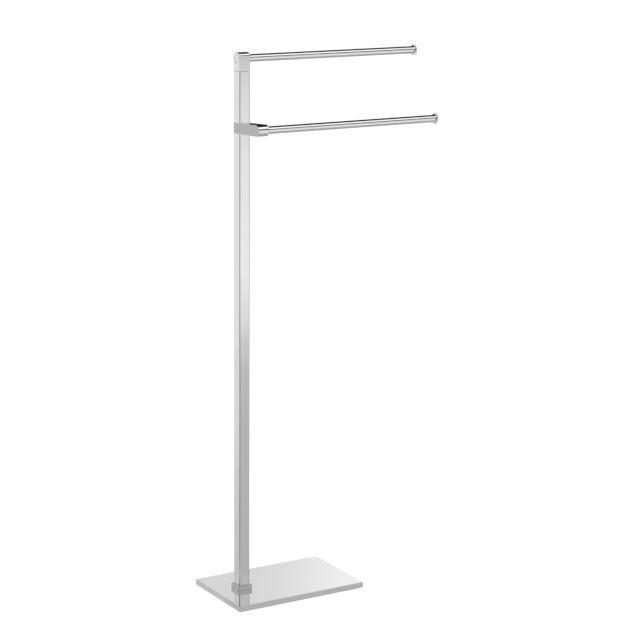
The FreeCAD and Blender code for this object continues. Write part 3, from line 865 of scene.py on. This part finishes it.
def build_room():
    """Four walls and a ceiling, painted by direction from the eye: the tones run by the sine of the
    height above the horizon, and each pair of bounds is the soft edge of a cloth."""
    corners = [(x * ROOM_HALF, y * ROOM_HALF, z) for z in (ROOM_FOOT, ROOM_HALF)
               for x, y in ((-1, -1), (1, -1), (1, 1), (-1, 1))]
    walls = [(0, 1, 5, 4), (1, 2, 6, 5), (2, 3, 7, 6), (3, 0, 4, 7), (4, 5, 6, 7)]
    tree, place, glow = hung("room", corners, walls, lights=True)
    from_eye = arrow(tree, "SUBTRACT", place, ROOM_EYE)["Vector"]
    direction = arrow(tree, "NORMALIZE", from_eye)["Vector"]
    x, y, z = axes(tree, direction)
    off_strip = number(tree, "ABSOLUTE", number(tree, "SUBTRACT", x, STRIP_MIDDLE))
    beside = soft_step(tree, off_strip, *STRIP_EDGE)
    tone = blend(tree, beside, ramp(tree, z, STRIP_TONES), ramp(tree, z, WALL_TONES))
    tone = blend(tree, soft_step(tree, y, *BEHIND), tone, BLACK_CLOTH)
    tone = blend(tree, soft_step(tree, x, *RIGHT), tone, BLACK_CLOTH)
    towards = arrow(tree, "DOT_PRODUCT", direction, TOWARDS_CAMERA)["Value"]
    low_in_front = number(tree, "MULTIPLY", soft_step(tree, z, *LOW),
                          soft_step(tree, towards, *CAMERA_SECTOR))
    tone = blend(tree, low_in_front, tone, BLACK_CLOTH)
    left_behind = number(tree, "MULTIPLY", soft_step(tree, x, *PATCH_LEFT),
                         soft_step(tree, y, *PATCH_BEHIND))
    patch = number(tree, "MULTIPLY", left_behind, soft_step(tree, z, *PATCH_TOP))
    tree.links.new(blend(tree, patch, tone, PATCH_TONE), glow)


build_room()

# %% [markdown]
# The floor is one large plain disc. It is white where it is seen, with a little plain diffuse light in
# it to take the stand's shadow.

# %% Floor
FLOOR_RADIUS = 30.0
FLOOR_GLOW = 0.806
FLOOR_DIFFUSE = 0.3


def disc(height):
    """A large disc at a height, as points and one face."""
    turn = np.linspace(0, 2 * np.pi, 128, endpoint=False)
    points = np.stack([np.cos(turn), np.sin(turn), np.full_like(turn, height / FLOOR_RADIUS)], axis=1)
    return (points * FLOOR_RADIUS).tolist(), [list(range(len(turn)))]


def build_floor():
    """A glow for the rays that see it, added to a diffuse surface."""
    _, tree = staged("floor", *disc(0.0))
    glow = add(tree, "ShaderNodeEmission", Strength=1.0)
    tree.links.new(blend(tree, seen(tree), 0.0, FLOOR_GLOW), glow.inputs["Color"])
    diffuse = add(tree, "ShaderNodeBsdfDiffuse")
    diffuse.inputs["Color"].default_value = (FLOOR_DIFFUSE, FLOOR_DIFFUSE, FLOOR_DIFFUSE, 1.0)
    both = add(tree, "ShaderNodeAddShader")
    tree.links.new(glow.outputs["Emission"], both.inputs[0])
    tree.links.new(diffuse.outputs["BSDF"], both.inputs[1])
    out = add(tree, "ShaderNodeOutputMaterial")
    tree.links.new(both.outputs["Shader"], out.inputs["Surface"])


build_floor()

# %% [markdown]
# A cloth lies on the floor, and polished steel sees most of it. The post and the bars look at different
# parts. A ray that a bar sends down always lands on one curve, moved along X by as much as the ray's
# start: x = slant sqrt(bar height^2 + y^2) + start. So the cloth is painted in zones of
# x - slant sqrt(bar height^2 + y^2). Left of the curve is the post's own zone, on it is the bars', and
# to the right it is dark. In each zone the tone depends only on y, and so the bars' bands stay
# straight. The photographer's side is dark too, and draws the dark line down the post's front edge.

# %% Cloth on the floor
CLOTH_HEIGHT = 0.05 * MM
CLOTH_SCALE = 12.0
BAR_HEIGHT = 1.1
BAR_SLANT = 0.555
DARK_SLANT = 0.655
POST_FRONT = [(0.0, 0.6), (0.087, 0.62), (0.147, 0.68), (0.16, 0.76), (0.21, 1.0), (0.27, 1.16),
              (0.47, 1.07), (0.6, 0.95), (1.0, 0.85)]
POST_BACK = [(0.0, 0.66), (0.03, 0.76), (0.13, 0.92), (0.3, 1.0), (1.0, 1.02)]
POST_LEFT = [(0.0, 0.69), (0.011, 0.69), (0.02, 0.64), (0.05, 1.1), (0.1, 1.35), (1.0, 1.3)]
CAMERA_SIDE = [(0.0, 0.62), (0.0115, 0.6), (0.02, 0.3), (0.05, 0.03), (1.0, 0.03)]
BAR_ZONE = [(0.0, 1.05), (0.21, 1.1), (0.405, 0.98), (0.43, 0.5), (0.58, 0.47), (0.64, 0.9), (1.0, 1.0)]
DARK_ZONE = 0.04
FRONT_TO_BACK = (-0.05, 0.05)
LEFT_SECTOR = (-0.8, -0.95)
DARK_SECTOR = (0.6, 0.72)
BAR_ZONE_START = (-0.12, -0.06)
DARK_ZONE_START = (0.6, 0.8)


def build_cloth():
    """A disc just over the floor, with its zones painted by place. The post's zone runs by the distance
    in front, by the distance from the post behind and on the left, and the bars' zone by y."""
    tree, place, glow = hung("floor_cloth", *disc(CLOTH_HEIGHT))
    x, y, _ = axes(tree, place)
    aim = arrow(tree, "NORMALIZE", place)["Vector"]
    away = number(tree, "DIVIDE", arrow(tree, "LENGTH", place)["Value"], CLOTH_SCALE)
    ahead = number(tree, "DIVIDE", y, -CLOTH_SCALE)
    across = number(tree, "MULTIPLY_ADD", y, 1 / CLOTH_SCALE, 0.5)
    curve = number(tree, "SQRT", number(tree, "MULTIPLY_ADD", y, y, BAR_HEIGHT ** 2))
    past_bars = number(tree, "MULTIPLY_ADD", curve, -BAR_SLANT, x)
    past_all = number(tree, "MULTIPLY_ADD", curve, -DARK_SLANT, x)
    leftward = axes(tree, aim)["X"]
    towards = arrow(tree, "DOT_PRODUCT", aim, TOWARDS_CAMERA)["Value"]
    tone = blend(tree, soft_step(tree, y, *FRONT_TO_BACK), ramp(tree, ahead, POST_FRONT),
                 ramp(tree, away, POST_BACK))
    tone = blend(tree, soft_step(tree, leftward, *LEFT_SECTOR), tone, ramp(tree, away, POST_LEFT))
    tone = blend(tree, soft_step(tree, towards, *DARK_SECTOR), tone, ramp(tree, away, CAMERA_SIDE))
    tone = blend(tree, soft_step(tree, past_bars, *BAR_ZONE_START), tone, ramp(tree, across, BAR_ZONE))
    tree.links.new(blend(tree, soft_step(tree, past_all, *DARK_ZONE_START), tone, DARK_ZONE), glow)


build_cloth()

# %% [markdown]
# Two low pale cards stand on the floor, one in front and one behind. From the bars they end at or near
# the horizon, with black above them. From the plate and the foot of the post they reach higher, so the
# plate is pale although it looks upwards, and so is what it mirrors. The back card has a dark middle,
# which the post's left edge shows.

# %% Front and back cards
FRONT_CARD = {"place": -6.0, "left": 2.0, "right": 4.6, "height": 3.05}
FRONT_CARD_GLOW = [(0.0, 1.0), (0.07, 0.98), (0.13, 0.9), (0.155, 0.78), (0.3, 0.8), (0.75, 0.82),
                   (0.9, 0.95), (1.0, 0.95)]
BACK_CARD = {"place": 2.0, "left": -4.0, "right": 4.0, "height": 1.0}
BACK_CARD_GLOW = [(0.0, 1.0), (0.44, 1.0), (0.47, 0.05), (0.575, 0.05), (0.605, 0.9), (0.64, 0.89),
                  (0.7, 1.15), (1.0, 1.2)]


def build_card(name, tones, along, place, left, right, height):
    """A standing rectangle at y = place, from left to right. Its tones run along X or Z."""
    corners = [(left, place, 0), (right, place, 0), (right, place, height), (left, place, height)]
    tree, own, glow = hung(name, corners, [(0, 1, 2, 3)])
    start, stop = (left, right) if along == "X" else (0.0, height)
    share = add(tree, "ShaderNodeMapRange", From_Min=start, From_Max=stop)
    tree.links.new(axes(tree, own)[along], share.inputs["Value"])
    tree.links.new(ramp(tree, share.outputs["Result"], tones), glow)


build_card("front_card", FRONT_CARD_GLOW, "Z", **FRONT_CARD)
build_card("back_card", BACK_CARD_GLOW, "X", **BACK_CARD)

# %% [markdown]
# A sun with a very wide disc adds soft light from above and the right. An area lamp would do the same
# close by, but its light falls off with distance. It is hidden from reflections, because a mirror should
# show the studio and not the lamp.

# %% Lamp
LAMP_STRENGTH = 1.6
LAMP_DISC = np.radians(60)
LAMP_PLACE = Vector((1.0, -1.2, 3.4))


def build_lamp():
    """A soft sun aimed from its place at the stand's foot."""
    data = bpy.data.lights.new("ceiling", "SUN")
    data.energy = LAMP_STRENGTH
    data.angle = LAMP_DISC
    lamp = bpy.data.objects.new("ceiling", data)
    bpy.context.scene.collection.objects.link(lamp)
    lamp.rotation_euler = (-LAMP_PLACE).to_track_quat("-Z", "Y").to_euler()
    lamp.visible_camera = False
    lamp.visible_glossy = False


build_lamp()
print("lamp: a sun of strength", LAMP_STRENGTH)

# %% [markdown]
# ## Camera
#
# The photograph was taken a little over four metres away with a long lens, from the left and from above
# the upper bar. A camera can be aimed with a constraint, but its place and angles were found here by
# fitting the edges of the plate, the post and the bars, so they are set as numbers. The lens is never
# shifted, so the same camera serves every other view.

# %% Camera
CAMERA_PLACE = Vector((-2.1062, -3.7821, 1.5939))
CAMERA_YAW, CAMERA_PITCH, CAMERA_ROLL = np.radians([31.304, 12.759, 0.505])
CAMERA_LENS = 117.88


def build_camera():
    """Looks along yaw (from +Y towards +X) and pitch (down), then rolls about that line."""
    sin_yaw, cos_yaw = np.sin(CAMERA_YAW), np.cos(CAMERA_YAW)
    level_reach = np.cos(CAMERA_PITCH)
    ahead = Vector((sin_yaw * level_reach, cos_yaw * level_reach, -np.sin(CAMERA_PITCH)))
    level = Vector((cos_yaw, -sin_yaw, 0.0))
    upright = level.cross(ahead)
    right = level * np.cos(CAMERA_ROLL) + upright * np.sin(CAMERA_ROLL)
    up = upright * np.cos(CAMERA_ROLL) - level * np.sin(CAMERA_ROLL)
    data = bpy.data.cameras.new("camera")
    data.lens = CAMERA_LENS
    data.sensor_width = 36.0
    data.clip_end = 100.0
    camera = bpy.data.objects.new("camera", data)
    bpy.context.scene.collection.objects.link(camera)
    turn = Matrix((right, up, -ahead)).transposed()
    camera.matrix_world = Matrix.Translation(CAMERA_PLACE) @ turn.to_4x4()
    bpy.context.scene.camera = camera


build_camera()
bpy.context.scene.view_settings.view_transform = "Standard"
print("camera: lens", CAMERA_LENS, "mm")
